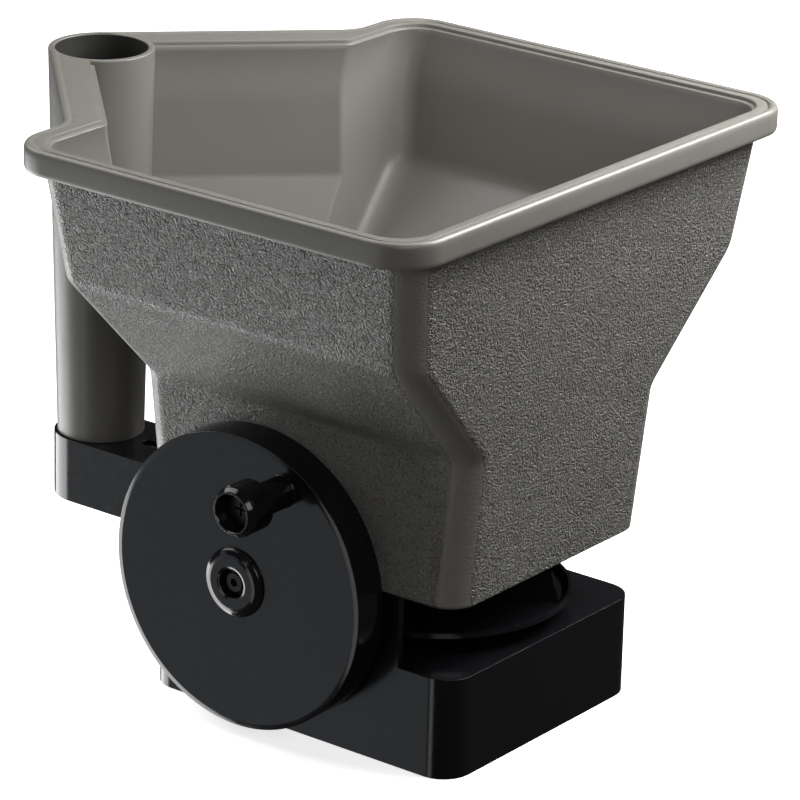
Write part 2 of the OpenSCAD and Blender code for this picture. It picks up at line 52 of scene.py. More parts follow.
# ---------- driving sizes, in millimetres ----------

hopper_lo, hopper_hi = (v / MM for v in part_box("hopper"))
RIM_Z = hopper_hi.z
RIM_W = hopper_hi.x
RIM_FRONT = -hopper_lo.y
RIM_BACK = 86.0
ROOF_Z = hopper_lo.z
RIM_CORNER_R = 18
MOUTH_W, MOUTH_FRONT, MOUTH_BACK = 105.6, 81.8, 79.0
MOUTH_CORNER_R = 13
LIP_Z = RIM_Z - 9.2

# The handle flange: where |x| + y is constant along its slanting edges, outside and inside.
DIAG, DIAG_IN = 167.0, 147.4
FLANGE_Y, FLANGE_Y_IN = 154.0, 135.0
FLANGE_TIP_R, FLANGE_ROOT_R = 5, 14
FLANGE_TIP_R_IN, FLANGE_ROOT_R_IN = 3, 5

TUBE_TOP_R = 19.5
TUBE_FOOT_R = 16.3
TUBE_WALL = 2.4
TUBE_FLOOR = 8
TUBE_Y = hopper_hi.y - TUBE_TOP_R

# The hopper's body: half widths at its foot, above its shoulders and under the lip.
WALL = 2.2
LOW_W, SHOULDER_W, TOP_W = 56.8, 96.5, 103.0
SHOULDER_LOW_Z, SHOULDER_TOP_Z = 119.5, 162.5
CREASE = 3.6
BODY_FRONT, BODY_BACK, BODY_DRAFT = 69.3, 67.6, 0.1
BODY_CORNER_R = 11.5

# The pocket towards the handle: half width and reach at its foot, at the shoulders' top and at the rim.
POCKET_FOOT_W, POCKET_SHOULDER_W, POCKET_RIM_W = 35.2, 63.7, 68.0
POCKET_SHOULDER_REACH, POCKET_RIM_REACH = 51.2, 55.0
POCKET_CORNER_R = 3.0

# Points to an arc of an outline.
CORNER_N = 14


# ---------- outlines ----------


def arc_corner(before, at, after, radius, n=CORNER_N):
    """Points of the arc that rounds the corner between the points before and after it."""
    u = (before - at).normalized()
    v = (after - at).normalized()
    half = math.acos(max(-1.0, min(1.0, u.dot(v)))) / 2
    if half > math.radians(89.9):
        return [at.copy() for _ in range(n + 1)]
    centre = at + (u + v).normalized() * radius / math.sin(half)
    start = at + u * radius / math.tan(half) - centre
    end = at + v * radius / math.tan(half) - centre
    turn = math.atan2(start.x * end.y - start.y * end.x, start.dot(end))
    return [centre + Matrix.Rotation(turn * i / n, 2) @ start for i in range(n + 1)]


def rounded(points, radii, n=CORNER_N):
    """A closed outline whose corners are rounded, each by its own radius."""
    pts = [Vector(p) for p in points]
    out = []
    for i, p in enumerate(pts):
        out += arc_corner(pts[i - 1], p, pts[(i + 1) % len(pts)], radii[i], n)
    return out


def eight_corners(w, front, back, root, tip_x, tip_y, radii):
    """Outline with a bump on its back edge: the handle's flange, or the pocket below it."""
    front_edge = [(-w, -front), (w, -front)]
    back_edge = [(w, back), (root, back), (tip_x, tip_y), (-tip_x, tip_y), (-root, back), (-w, back)]
    return rounded(front_edge + back_edge, radii)


def rim_outline(d):
    """Outside of the rim and the handle flange, d inside their edge."""
    b, y, s = RIM_BACK - d, FLANGE_Y - d, DIAG - d * math.sqrt(2)
    r, tip, root = max(1.0, RIM_CORNER_R - d), max(1.0, FLANGE_TIP_R - d), FLANGE_ROOT_R + d
    return eight_corners(RIM_W - d, RIM_FRONT - d, b, s - b, s - y, y, [r, r, r, root, tip, tip, root, r])


def mouth_outline(d):
    """Inner edge of the rim, d further in."""
    w, f, b = MOUTH_W - d, MOUTH_FRONT - d, MOUTH_BACK - d
    s, y = DIAG_IN - d * math.sqrt(2), FLANGE_Y_IN - d
    r, tip, root = MOUTH_CORNER_R - d, FLANGE_TIP_R_IN, FLANGE_ROOT_R_IN + d
    return eight_corners(w, f, b, s - b, s - y, y, [r, r, r, root, tip, tip, root, r])


def mix(z, z0, z1, v0, v1):
    """The value at z on the line from v0 at z0 to v1 at z1."""
    return v0 + (v1 - v0) * (z - z0) / (z1 - z0)


def half_width_sharp(z):
    """Half width of the hopper at height z: narrow foot, slanting shoulders, wide top."""
    if z < SHOULDER_LOW_Z:
        return mix(z, ROOF_Z, SHOULDER_LOW_Z, LOW_W - 1, LOW_W)
    if z < SHOULDER_TOP_Z:
        return mix(z, SHOULDER_LOW_Z, SHOULDER_TOP_Z, LOW_W, SHOULDER_W)
    return mix(z, SHOULDER_TOP_Z, LIP_Z, SHOULDER_W, TOP_W)


def half_width(z):
    """Half width of the hopper, averaged over the height of a crease so that creases are round."""
    steps = [i / 10 - 1 for i in range(21)]
    weights = [1 - abs(s) * 0.999 for s in steps]
    return sum(k * half_width_sharp(z + s * CREASE) for s, k in zip(steps, weights)) / sum(weights)


def smooth_step(x):
    x = max(0.0, min(1.0, x))
    return x * x * (3 - 2 * x)


def body_outline(z, t):
    """Hopper body at height z, t inside its outer face, with the pocket towards the handle."""
    w = half_width(z) - t
    f = BODY_FRONT + BODY_DRAFT * (z - ROOF_Z) - t
    b = BODY_BACK + BODY_DRAFT * (z - ROOF_Z) - t
    if z < SHOULDER_TOP_Z:
        k = max(0.0, (z - SHOULDER_LOW_Z) / (SHOULDER_TOP_Z - SHOULDER_LOW_Z))
        pocket_w = mix(k, 0, 1, POCKET_FOOT_W, POCKET_SHOULDER_W)
        reach = mix(k, 0, 1, 0.0, POCKET_SHOULDER_REACH)
    else:
        k = (z - SHOULDER_TOP_Z) / (RIM_Z - SHOULDER_TOP_Z)
        pocket_w = mix(k, 0, 1, POCKET_SHOULDER_W, POCKET_RIM_W)
        reach = mix(k, 0, 1, POCKET_SHOULDER_REACH, POCKET_RIM_REACH)
    if reach:
        pocket_w -= 1.2 * t
    r = max(1.0, BODY_CORNER_R - t)
    pr = POCKET_CORNER_R if reach > 8 else max(0.01, reach * 0.3)
    return eight_corners(w, f, b, pocket_w, pocket_w - reach, b + reach, [r, r, r, pr, pr, pr, pr, r])


# ---------- mesh building ----------


def new_piece(name, bm, body, materials, smooth_angle=32):
    """Turns a bmesh in millimetres into a piece that rides on a body."""
    me = bpy.data.meshes.new(name)
    bm.normal_update()
    bm.to_mesh(me)
    bm.free()
    me.transform(Matrix.Scale(MM, 4))
    obj = bpy.data.objects.new(name, me)
    bpy.context.scene.collection.objects.link(obj)
    for m in materials:
        me.materials.append(m)
    me.shade_smooth()
    me.set_sharp_from_angle(angle=math.radians(smooth_angle))
    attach(obj, body)
    return obj


def add_loft(bm, rings):
    """A closed skin over rings of equal length, each a list of 3-D points."""
    loops = [[bm.verts.new(p) for p in ring] for ring in rings]
    for a, b in zip(loops, loops[1:]):
        for i in range(len(a)):
            j = (i + 1) % len(a)
            bm.faces.new((a[i], a[j], b[j], b[i]))
    bm.faces.new(list(reversed(loops[0])))
    bm.faces.new(loops[-1])
    return loops


def at_z(outline, z):
    return [Vector((p.x, p.y, z)) for p in outline]


def fillet_profile(points, n=6):
    """Points (r, z) or (r, z, fillet) of a profile, with its corners rounded."""
    out = []
    for i, p in enumerate(points):
        at = Vector(p[:2])
        if len(p) == 3 and 0 < i < len(points) - 1:
            out += arc_corner(Vector(points[i - 1][:2]), at, Vector(points[i + 1][:2]), p[2], n)
        else:
            out.append(at)
    return out


def add_lathe(bm, profile, place, n=160, closed=False):
    """Turns a profile of (radius, height) about the local Z axis of place."""
    rings = []
    for r, z in profile:
        if r < 1e-6:
            rings.append([bm.verts.new(place @ Vector((0, 0, z)))])
            continue
        turns = [2 * math.pi * k / n for k in range(n)]
        rings.append([bm.verts.new(place @ Vector((r * math.cos(a), r * math.sin(a), z))) for a in turns])
    pairs = list(zip(rings, rings[1:])) + ([(rings[-1], rings[0])] if closed else [])
    for a, b in pairs:
        for i in range(n):
            j = (i + 1) % n
            if len(a) == 1:
                bm.faces.new((a[0], b[j], b[i]))
            elif len(b) == 1:
                bm.faces.new((a[i], a[j], b[0]))
            else:
                bm.faces.new((a[i], a[j], b[j], b[i]))
    bmesh.ops.recalc_face_normals(bm, faces=bm.faces)


def lathe_piece(name, profile, place, body, material, n=160, closed=False, smooth_angle=32):
    bm = bmesh.new()
    add_lathe(bm, profile, place, n, closed)
    return new_piece(name, bm, body, [material], smooth_angle)


def cutter(name, bm):
    """A solid in millimetres to be taken off a piece."""
    me = bpy.data.meshes.new(name)
    bmesh.ops.recalc_face_normals(bm, faces=bm.faces)
    bm.to_mesh(me)
    bm.free()
    me.transform(Matrix.Scale(MM, 4))
    obj = bpy.data.objects.new(name, me)
    bpy.context.scene.collection.objects.link(obj)
    return obj


def apply_modifiers(obj):
    depsgraph = bpy.context.evaluated_depsgraph_get()
    me = bpy.data.meshes.new_from_object(obj.evaluated_get(depsgraph))
    obj.modifiers.clear()
    obj.data = me


def cut(obj, tools):
    for tool in tools:
        mod = obj.modifiers.new("cut", "BOOLEAN")
        mod.operation = "DIFFERENCE"
        mod.solver = "MANIFOLD"
        mod.object = tool
        bpy.context.view_layer.update()
        apply_modifiers(obj)
        bpy.data.objects.remove(tool)


def refined(node, body, material, width=0.4, segments=3):
    """A piece from a CAD node's own shape, with its sharp edges rounded."""
    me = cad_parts[node].data.copy()
    bm = bmesh.new()
    bm.from_mesh(me)
    bmesh.ops.remove_doubles(bm, verts=bm.verts, dist=2e-6)
    bmesh.ops.dissolve_limit(bm, angle_limit=math.radians(0.5), verts=bm.verts, edges=bm.edges)
    me.materials.clear()
    bm.to_mesh(me)
    bm.free()
    obj = bpy.data.objects.new(node + "_moulded", me)
    bpy.context.scene.collection.objects.link(obj)
    me.materials.append(material)
    for p in me.polygons:
        p.material_index = 0
    me.shade_smooth()
    bevel = obj.modifiers.new("bevel", "BEVEL")
    bevel.width = width * MM
    bevel.segments = segments
    bevel.limit_method = "ANGLE"
    bevel.angle_limit = math.radians(35)
    bevel.miter_outer = "MITER_ARC"
    normals = obj.modifiers.new("normals", "WEIGHTED_NORMAL")
    normals.keep_sharp = True
    apply_modifiers(obj)
    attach(obj, body)
    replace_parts(obj, node)
    return obj


# ---------- materials ----------


class Look:
    """A node material around one Principled shader, in the row frame's own metres."""

    def __init__(self, name, colour, roughness, metallic=0.0, specular=0.5):
        self.material = bpy.data.materials.new(name)
        self.material.use_nodes = True
        self.tree = self.material.node_tree
        self.tree.nodes.clear()
        self.out = self.tree.nodes.new("ShaderNodeOutputMaterial")
        self.shader = self.tree.nodes.new("ShaderNodeBsdfPrincipled")
        self.link(self.shader.outputs[0], self.out.inputs["Surface"])
        self.shader.inputs["Base Color"].default_value = (*colour, 1)
        self.shader.inputs["Roughness"].default_value = roughness
        self.shader.inputs["Metallic"].default_value = metallic
        self.shader.inputs["Specular IOR Level"].default_value = specular
        coordinates = self.tree.nodes.new("ShaderNodeTexCoord")
        self.coords, self.normal = coordinates.outputs["Object"], coordinates.outputs["Normal"]
        self.colour, self.roughness = colour, roughness

    def link(self, a, b):
        self.tree.links.new(a, b)

    def stretch(self, scale):
        node = self.tree.nodes.new("ShaderNodeMapping")
        node.inputs["Scale"].default_value = scale
        self.link(self.coords, node.inputs["Vector"])
        return node.outputs["Vector"]

    def noise(self, per_metre, detail=3.0, rough=0.55, distortion=0.0, coords=None):
        node = self.tree.nodes.new("ShaderNodeTexNoise")
        node.inputs["Scale"].default_value = per_metre
        node.inputs["Detail"].default_value = detail
        node.inputs["Roughness"].default_value = rough
        node.inputs["Distortion"].default_value = distortion
        self.link(coords or self.coords, node.inputs["Vector"])
        return node.outputs["Fac"]

    def span(self, value, lo, hi, to_lo=0.0, to_hi=1.0, smooth=False):
        node = self.tree.nodes.new("ShaderNodeMapRange")
        node.interpolation_type = "SMOOTHSTEP" if smooth else "LINEAR"
        for key, v in (("From Min", lo), ("From Max", hi), ("To Min", to_lo), ("To Max", to_hi)):
            node.inputs[key].default_value = v
        self.link(value, node.inputs["Value"])
        return node.outputs["Result"]

    def math(self, kind, a, b):
        node = self.tree.nodes.new("ShaderNodeMath")
        node.operation = kind
        for i, v in enumerate((a, b)):
            if isinstance(v, (int, float)):
                node.inputs[i].default_value = v
            else:
                self.link(v, node.inputs[i])
        return node.outputs[0]

    def tint(self, fac, other):
        """Base colour goes from its own value to other as fac goes from 0 to 1."""
        node = self.tree.nodes.new("ShaderNodeMix")
        node.data_type = "RGBA"
        self.link(fac, node.inputs["Factor"])
        socket = self.shader.inputs["Base Color"]
        if socket.is_linked:
            self.link(socket.links[0].from_socket, node.inputs["A"])
        else:
            node.inputs["A"].default_value = (*self.colour, 1)
        node.inputs["B"].default_value = (*other, 1)
        self.link(node.outputs["Result"], socket)

    def vary_roughness(self, value, lo, hi, by):
        varied = self.span(value, lo, hi, self.roughness - by, self.roughness + by)
        self.link(varied, self.shader.inputs["Roughness"])

    def relief(self, height, depth_mm):
        node = self.tree.nodes.new("ShaderNodeBump")
        node.inputs["Distance"].default_value = depth_mm * MM
        node.inputs["Strength"].default_value = 1.0
        self.link(height, node.inputs["Height"])
        if self.shader.inputs["Normal"].is_linked:
            self.link(self.shader.inputs["Normal"].links[0].from_socket, node.inputs["Normal"])
        self.link(node.outputs["Normal"], self.shader.inputs["Normal"])


HOPPER_GREY = (0.152, 0.146, 0.131)
SWIRL_REACH = 0.0022  # metres that the swirl bends the hopper's grain by


def hopper_smooth():
    look = Look("hopper_satin", HOPPER_GREY, 0.36, specular=0.5)
    cloud = look.noise(22, 4, 0.6)
    look.tint(look.span(cloud, 0.3, 0.7), (0.164, 0.158, 0.142))
    look.vary_roughness(look.noise(260, 3), 0.3, 0.7, 0.03)
    look.relief(look.noise(1400, 1), 0.003)
    return look.material


def hopper_grain():
    """Leathery moulded grain on the flat walls, with painted shade in its low spots, both fading out
    towards the rounded corners.
    """
    # the base colour is 1.1 times the smooth grey, lighter to make up for the painted shade in the grain's
    # low spots
    look = Look("hopper_pebbled", tuple(c * 1.1 for c in HOPPER_GREY), 0.36, specular=0.5)

    # the grain: short folds between fine wrinkles, both bent by a slow swirl
    swirl = look.tree.nodes.new("ShaderNodeTexNoise")
    swirl.inputs["Scale"].default_value = 260
    swirl.inputs["Detail"].default_value = 2
    look.link(look.coords, swirl.inputs["Vector"])
    shift = look.tree.nodes.new("ShaderNodeVectorMath")
    shift.operation = "MULTIPLY_ADD"
    look.link(swirl.outputs["Color"], shift.inputs[0])
    shift.inputs[1].default_value = (SWIRL_REACH, SWIRL_REACH, SWIRL_REACH)
    look.link(look.coords, shift.inputs[2])
    bent = shift.outputs["Vector"]
    folds = look.math("ABSOLUTE", look.math("SUBTRACT", look.noise(640, 1, 0.5, 0.4, coords=bent), 0.5), 0)
    worms = look.span(folds, 0.0, 0.11, smooth=True)
    wrinkles = look.span(look.noise(1250, 2, 0.5, 0.4, coords=bent), 0.35, 0.65, smooth=True)
    relief = look.math("ADD", look.math("MULTIPLY", worms, 0.6), look.math("MULTIPLY", wrinkles, 0.45))

    # flatness: 1 where a wall faces straight along X or Y, down to 0.1 on the corners between them
    parts = look.tree.nodes.new("ShaderNodeSeparateXYZ")
    look.link(look.normal, parts.inputs[0])
    ax = look.math("ABSOLUTE", parts.outputs["X"], 0)
    ay = look.math("ABSOLUTE", parts.outputs["Y"], 0)
    longest = look.math("MAXIMUM", ax, ay)
    level = look.math("SQRT", look.math("ADD", look.math("POWER", ax, 2), look.math("POWER", ay, 2)), 0)
    flatness = look.span(look.math("DIVIDE", longest, level), 0.95, 0.998, 0.1, 1.0, smooth=True)

    look.relief(look.math("MULTIPLY", relief, flatness), 1.0)
    # painted shade: the grain's low spots are tinted dark grey as if shaded, less so towards the corners
    creases = look.math("MULTIPLY", look.span(relief, 0.1, 0.5, 1.0, 0.0), flatness)
    look.tint(creases, (0.070, 0.067, 0.060))
    look.vary_roughness(look.noise(180, 3), 0.3, 0.7, 0.05)
    return look.material


def moulded_black(name, colour, roughness, grain_mm):
    """Black plastic with faint upright flow streaks."""
    look = Look(name, colour, roughness, specular=0.5)
    look.tint(look.span(look.noise(35, 4), 0.35, 0.7), tuple(c * 1.25 for c in colour))
    look.vary_roughness(look.noise(420, 4, 0.6), 0.3, 0.7, 0.04)
    streaks = look.noise(160, 3, 0.5, coords=look.stretch((1, 1, 0.15)))
    look.relief(streaks, grain_mm * 0.6)
    look.relief(look.noise(2400, 2), grain_mm)
    return look.material


def nylon():
    look = Look("natural_nylon", (0.72, 0.70, 0.63), 0.42, specular=0.45)
    look.shader.inputs["Subsurface Weight"].default_value = 0.15
    look.shader.inputs["Subsurface Radius"].default_value = (0.0012, 0.001, 0.0008)
    look.tint(look.span(look.noise(60, 3), 0.35, 0.7), (0.64, 0.62, 0.54))
    look.vary_roughness(look.noise(500, 3), 0.3, 0.7, 0.06)
    look.relief(look.noise(1600, 2), 0.01)
    return look.material


def turned_steel():
    look = Look("turned_steel", (0.52, 0.52, 0.53), 0.28, metallic=1.0)
    rings = look.noise(900, 3, coords=look.stretch((1, 0.08, 0.08)))
    look.vary_roughness(rings, 0.3, 0.7, 0.08)
    look.tint(look.span(look.noise(240, 3), 0.4, 0.8), (0.40, 0.40, 0.41))
    look.relief(rings, 0.006)
    return look.material


def zinc_plate():
    look = Look("zinc_plate", (0.66, 0.67, 0.68), 0.2, metallic=1.0)
    look.tint(look.span(look.noise(700, 4), 0.45, 0.8), (0.5, 0.52, 0.52))
    look.vary_roughness(look.noise(1800, 3), 0.3, 0.7, 0.07)
    look.relief(look.noise(3000, 2), 0.006)
    return look.material


def black_oxide():
    look = Look("black_oxide", (0.016, 0.016, 0.018), 0.26, metallic=0.6)
    look.tint(look.span(look.noise(500, 4), 0.4, 0.8), (0.028, 0.028, 0.030))
    look.vary_roughness(look.noise(1500, 3), 0.3, 0.7, 0.08)
    look.relief(look.noise(2600, 2), 0.008)
    return look.material


def bore_shade():
    """Painted shade: a dark matt colour on the inside of the handle tube, standing in for its being unlit.
    """
    look = Look("tube_bore_painted_shade", (0.020, 0.0195, 0.018), 0.6, specular=0.3)
    look.tint(look.span(look.noise(60, 3), 0.35, 0.7), (0.028, 0.027, 0.025))
    look.vary_roughness(look.noise(300, 3), 0.3, 0.7, 0.06)
    look.relief(look.noise(900, 2), 0.008)
    return look.material


GREY = hopper_smooth()
BORE = bore_shade()
PEBBLED = hopper_grain()
BASE_BLACK = moulded_black("base_black_moulded", (0.0042, 0.0043, 0.0052), 0.17, 0.004)
WHEEL_BLACK = moulded_black("crank_black_polished", (0.0055, 0.0057, 0.0068), 0.13, 0.002)
NYLON = nylon()
STEEL = turned_steel()
ZINC = zinc_plate()
OXIDE = black_oxide()


# ---------- hopper ----------


# Steps of the profile over the rim, from the mouth to the underside of the lip, and of the edges below it.
# Each says how far in from the edge and how far down from the top; a third number is the groove's depth.
MOUTH_EDGE = ((1.35, 1.95), (1.05, 1.85), (0.3, 1.8), (0.05, 1.7), (0.0, 1.45), (0.0, 0.75), (-0.12, 0.5),
              (-0.4, 0.37))
GROOVE = ((4.4, 0.35, 0), (3.9, 0.37, 0.1), (3.6, 0.4, 0.8), (3.35, 0.4, 1.1), (3.1, 0.4, 0.8),
          (2.8, 0.35, 0))
BEAD = ((2.3, 0.12, 0), (1.7, 0.0, 0), (1.1, 0.1, 0), (0.6, 0.38, 0), (0.2, 0.9, 0), (0.02, 1.7, 0))
LIP = ((0.0, 3.0, 0), (0.0, 7.4, 0), (0.1, 8.3, 0), (0.45, 8.95, 0), (1.0, 9.2, 0), (1.6, 9.1, 0),
       (1.95, 8.7, 0), (2.0, 7.5, 0), (2.0, 3.0, 0), (2.6, 2.4, 0))
UNDER_LIP = ((-1.2, 2.6), (-0.4, 3.2), (-0.05, 4.2))
FOOT_EDGE = ((0.0, 0.9), (0.15, 0.35), (0.5, 0.05), (1.0, 0.0), (2.2, 0.0))
BAND_DROP = 0.35

# Heights of the rings of the walls, the blend from the inner wall to the mouth, and where the groove ends.
RING_STEP = 1.5
INNER_START, INNER_RINGS = 82, 73
OUTER_START, OUTER_RINGS = RIM_Z - 6, 96
MOUTH_RINGS = 12
MOUTH_DROP = 2.2
GROOVE_END, GROOVE_FADE = 62, 22


def crease_depth(p):
    """The groove behind the rim's bead fades out towards the handle flange."""
    return 1 - smooth_step((p.y - GROOVE_END) / GROOVE_FADE)


def rim_ring(d, z, groove=0.0):
    return [Vector((p.x, p.y, z - groove * crease_depth(p))) for p in rim_outline(d)]


def blend_rings(a, b, k):
    return [p.lerp(q, k) for p, q in zip(a, b)]


def inner_rings():
    """From the outlet's floor up the inner wall to the mouth."""
    floor = eight_corners(26, 44, 16, 9, 9, 16, [6, 6, 6, 0.01, 0.01, 0.01, 0.01, 6])
    heights = [INNER_START + RING_STEP * i for i in range(INNER_RINGS)]
    rings = [at_z(floor, ROOF_Z + 2.5)]
    rings += [at_z(body_outline(z, WALL), z) for z in heights]
    for i in range(1, MOUTH_RINGS + 1):
        z = mix(i, 0, MOUTH_RINGS, heights[-1], RIM_Z - MOUTH_DROP)
        blend = blend_rings(body_outline(z, WALL), mouth_outline(1.5), (i / MOUTH_RINGS) ** 2)
        rings.append(at_z(blend, z))
    return rings


def rim_rings():
    """Over the rim: the mouth's edge, the flat band, the groove, the bead and the hanging lip."""
    rings = [at_z(mouth_outline(d), RIM_Z - z) for d, z in MOUTH_EDGE]
    for k in (0.33, 0.67):
        band = blend_rings(mouth_outline(-0.4), rim_outline(4.4), k)
        rings.append([Vector((p.x, p.y, RIM_Z - BAND_DROP)) for p in band])
    return rings + [rim_ring(d, RIM_Z - z, groove) for d, z, groove in GROOVE + BEAD + LIP]


def outer_rings():
    """Down the outer wall to the hopper's foot."""
    rings = [at_z(body_outline(RIM_Z - z, t), RIM_Z - z) for t, z in UNDER_LIP]
    heights = [OUTER_START - RING_STEP * i for i in range(OUTER_RINGS)]
    rings += [at_z(body_outline(z, 0), z) for z in heights]
    return rings + [at_z(body_outline(ROOF_Z + z, t), ROOF_Z + z) for t, z in FOOT_EDGE]


def build_hopper():
    bm = bmesh.new()
    smooth = inner_rings() + rim_rings()
    loops = add_loft(bm, smooth + outer_rings())
    for loop in loops[len(smooth):]:
        for v in loop:
            for f in v.link_faces:
                f.material_index = 1
    bmesh.ops.remove_doubles(bm, verts=bm.verts, dist=0.004)
    bmesh.ops.recalc_face_normals(bm, faces=bm.faces)
    return new_piece("hopper_shell", bm, "frame", [GREY, PEBBLED])


def tube_radius(z):
    return mix(z, ROOF_Z, RIM_Z, TUBE_FOOT_R, TUBE_TOP_R)


def tube_cutter():
    """The hollow of the handle tube, which also opens the rim above it."""
    bm = bmesh.new()
    z0, z1 = ROOF_Z + TUBE_FLOOR, RIM_Z + 6
    low_r, high_r = (tube_radius(z) - TUBE_WALL + 0.3 for z in (z0, z1))
    bmesh.ops.create_cone(bm, cap_ends=True, segments=128, radius1=low_r, radius2=high_r, depth=z1 - z0,
                          matrix=Matrix.Translation((0, TUBE_Y, (z0 + z1) / 2)))
    return cutter("bore_cutter", bm)


def box_cutter(lo, hi):
    bm = bmesh.new()
    centre, size = (Vector(lo) + Vector(hi)) / 2, Vector(hi) - Vector(lo)
    bmesh.ops.create_cube(bm, size=1, matrix=Matrix.Translation(centre) @ Matrix.Diagonal((*size, 1)))
    return cutter("box_cutter", bm)


def round_cutter(x, y, z0, z1, r):
    bm = bmesh.new()
    bmesh.ops.create_cone(bm, cap_ends=True, segments=48, radius1=r, radius2=r, depth=z1 - z0,
                          matrix=Matrix.Translation((x, y, (z0 + z1) / 2)))
    return cutter("round_cutter", bm)


def centre_of(node):
    """Middle of a CAD node's box, in millimetres."""
    lo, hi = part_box(node)
    return (lo + hi) / 2 / MM


# The hopper's floor has the outlet over the gate and a hole for the spinner's shaft.
SPIN = centre_of("spinner_shaft")
OUTLET_HALF_X, OUTLET_HALF_Y = 16, 10
SHAFT_HOLE_R = 4
CUT_FROM, CUT_TO = ROOF_Z - 3, ROOF_Z + 8

hopper = build_hopper()
outlet = box_cutter((-OUTLET_HALF_X, -OUTLET_HALF_Y, CUT_FROM), (OUTLET_HALF_X, OUTLET_HALF_Y, CUT_TO))
cut(hopper, [tube_cutter(), outlet, round_cutter(SPIN.x, SPIN.y, CUT_FROM, CUT_TO, SHAFT_HOLE_R)])
hopper.data.shade_smooth()
hopper.data.set_sharp_from_angle(angle=math.radians(32))
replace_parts(hopper, "hopper")


def build_tube():
    """The hollow handle, with painted shade on its inside as a second material."""
    foot, floor, top = ROOF_Z, ROOF_Z + TUBE_FLOOR, RIM_Z - 0.3
    foot_r, top_r = tube_radius(foot), tube_radius(top)
    profile = [(0, foot), (foot_r, foot, 0.4), (top_r, top, 0.7), (top_r - TUBE_WALL, top, 0.5),
               (tube_radius(floor) - TUBE_WALL, floor, 2), (0, floor)]
    tube = lathe_piece("handle_tube", fillet_profile(profile), Matrix.Translation((0, TUBE_Y, 0)),
                       "frame", GREY, n=192)
    tube.data.materials.append(BORE)
    for face in tube.data.polygons:
        out = face.center / MM - Vector((0, TUBE_Y, 0))
        inside = math.hypot(out.x, out.y) < tube_radius(out.z) - TUBE_WALL + 0.4
        # faces inside the bore get the painted shade material
        if inside and foot + 4 < out.z < top - 0.6:
            face.material_index = 1


build_tube()

# ---------- crank: sizes in millimetres, depths from the wheel's outer face ----------

AXLE = centre_of("crank_axle")
PINION = centre_of("cross_shaft")
KNOB_LO, KNOB_HI = (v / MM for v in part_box("crank_knob"))
KNOB = centre_of("crank_knob")
WHEEL_R = (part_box("crank_wheel")[1].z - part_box("crank_wheel")[0].z) / MM / 2
WHEEL_X = -72.6
WHEEL_FACE, WHEEL_DEPTH = 3, 14.1
COLLAR_R, COLLAR_RISE = 12.7, 2.6
RECESS_R, RECESS_FLOOR = 5.4, 2.35
AXLE_BORE_R = 3.05
HUB_R, HUB_DEPTH = 9, 14.3
RING_R = 50.6

NECK_R, NECK_LENGTH = 5.8, 15
POST_R, POST_LENGTH = 4, 5
SCREW_HOLE_R = 1.6
KNOB_R, KNOB_BORE_R = 9.2, 4.05
KNOB_CUP_R, KNOB_FLOOR = 6.7, 7.2

TEETH, TOOTH_TIP_R, TOOTH_ROOT_R = 99, 48.9, 50.7
TOOTH_FROM, TOOTH_TO = 3, 12.4
TIP_HALF_ANGLE, ROOT_HALF_ANGLE = 0.0125, 0.0225


def along_x(x, y, z):
    """Local Z runs along +X from this point."""
    return Matrix(((0, 0, 1, x), (0, 1, 0, y), (-1, 0, 0, z), (0, 0, 0, 1)))


def build_wheel():
    """The disc with its collar, recess, rim and hub. Heights run inwards from the outer face."""
    recess = [(AXLE_BORE_R, RECESS_FLOOR), (RECESS_R, RECESS_FLOOR, 0.25), (RECESS_R, -2.25, 0.2)]
    collar = [(5.75, -2.35, 0.15), (6.4, -COLLAR_RISE, 0.5), (9.3, -COLLAR_RISE, 0.3), (10.5, -2.3, 0.9),
              (12.2, -1.4, 0.8), (COLLAR_R, -0.5, 0.4), (COLLAR_R, 0)]
    rim = [(52.4, 0, 0.4), (WHEEL_R, 0.35, 0.3), (WHEEL_R, WHEEL_DEPTH, 0.5), (51.2, WHEEL_DEPTH, 0.4),
           (50.8, 12.5, 0.3), (RING_R, 12.3), (RING_R, WHEEL_FACE, 0.3)]
    hub = [(HUB_R, WHEEL_FACE, 0.8), (HUB_R, HUB_DEPTH, 0.4), (AXLE_BORE_R, HUB_DEPTH)]
    return lathe_piece("crank_wheel_moulded", fillet_profile(recess + collar + rim + hub),
                       along_x(WHEEL_X, AXLE.y, AXLE.z), "crank", WHEEL_BLACK,
                       n=288, closed=True, smooth_angle=40)


def build_neck():
    """The fixed neck behind the knob, and the post that the knob turns on, with its screw hole."""
    post_end = -NECK_LENGTH - POST_LENGTH
    profile = [(7, 0.2), (NECK_R, 0, 0.5), (NECK_R, -NECK_LENGTH, 0.3), (POST_R, -NECK_LENGTH),
               (POST_R, post_end, 0.3), (SCREW_HOLE_R, post_end), (SCREW_HOLE_R, 0.2)]
    lathe_piece("knob_neck", fillet_profile(profile), along_x(WHEEL_X, KNOB.y, KNOB.z),
                "crank", WHEEL_BLACK, n=96, closed=True)


def build_teeth():
    """Inner teeth of the wheel's gear ring. A gap between two teeth faces the pinion."""
    bm = bmesh.new()
    place = along_x(0, AXLE.y, AXLE.z)
    to_pinion = math.atan2(PINION.y - AXLE.y, AXLE.z - PINION.z)
    corners = [(TOOTH_ROOT_R, ROOT_HALF_ANGLE), (TOOTH_TIP_R, TIP_HALF_ANGLE)]
    for k in range(TEETH):
        mid = to_pinion + 2 * math.pi * (k + 0.5) / TEETH
        v = []
        for x in (WHEEL_X + TOOTH_FROM, WHEEL_X + TOOTH_TO):
            for r, half in corners:
                for a in (mid - half, mid + half):
                    v.append(bm.verts.new(place @ Vector((r * math.cos(a), r * math.sin(a), x))))
        for quad in ((0, 1, 3, 2), (4, 6, 7, 5), (2, 3, 7, 6), (0, 2, 6, 4), (1, 5, 7, 3)):
            bm.faces.new([v[i] for i in quad])
    bmesh.ops.recalc_face_normals(bm, faces=bm.faces)
    return new_piece("gear_ring_teeth", bm, "crank", [WHEEL_BLACK])


